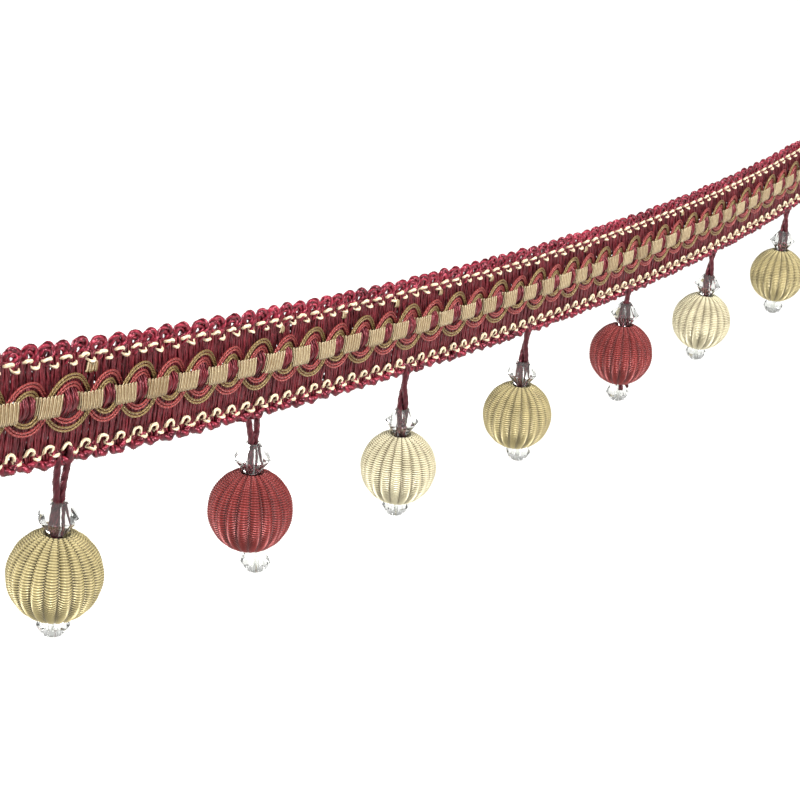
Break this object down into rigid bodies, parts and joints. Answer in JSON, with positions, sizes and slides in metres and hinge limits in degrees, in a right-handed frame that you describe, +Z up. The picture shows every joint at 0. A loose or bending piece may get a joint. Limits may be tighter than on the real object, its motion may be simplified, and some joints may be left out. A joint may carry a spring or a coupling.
{
  "type": "beaded ball fringe trim",
  "caption": "Cut length of woven gimp trim with wrapped balls and clear faceted beads hanging from its lower edge, in a shallow sag.",
  "frame": {"origin": "back of the heading's top edge, at the middle of the length, where it hangs", "axes": "+X along the heading, the patterned front faces -Y, +Z up"},
  "size_m": [0.4222, 0.0213, 0.0832],
  "materials": {
    "burgundy_yarn": "satin",
    "cream_yarn": "satin",
    "red_cord": "satin",
    "olive_cord": "satin",
    "beige_ribbon": "satin",
    "ball_olive": "satin",
    "ball_burgundy": "satin",
    "ball_cream": "satin",
    "clear_bead": "polished"
  },
  "bodies": {
    "root": {"ground_tape": "burgundy_yarn", "chain_top": "cream_yarn", "chain_bottom": "cream_yarn", "scroll_a_red": "red_cord", "scroll_a_olive": "olive_cord", "scroll_b_olive": "olive_cord", "scroll_b_red": "red_cord", "square_ribbon": "beige_ribbon", "hanger_1": "burgundy_yarn", "hanger_2": "burgundy_yarn", "hanger_3": "burgundy_yarn", "hanger_4": "burgundy_yarn", "hanger_5": "burgundy_yarn", "hanger_6": "burgundy_yarn", "hanger_7": "burgundy_yarn", "bicone_1": "clear_bead", "bicone_2": "clear_bead", "bicone_3": "clear_bead", "bicone_4": "clear_bead", "bicone_5": "clear_bead", "bicone_6": "clear_bead", "bicone_7": "clear_bead", "ball_1": "ball_olive", "ball_2": "ball_burgundy", "ball_3": "ball_cream", "ball_4": "ball_olive", "ball_5": "ball_burgundy", "ball_6": "ball_cream", "ball_7": "ball_olive", "drop_1": "clear_bead", "drop_2": "clear_bead", "drop_3": "clear_bead", "drop_4": "clear_bead", "drop_5": "clear_bead", "drop_6": "clear_bead", "drop_7": "clear_bead"}
  },
  "joints": []
}
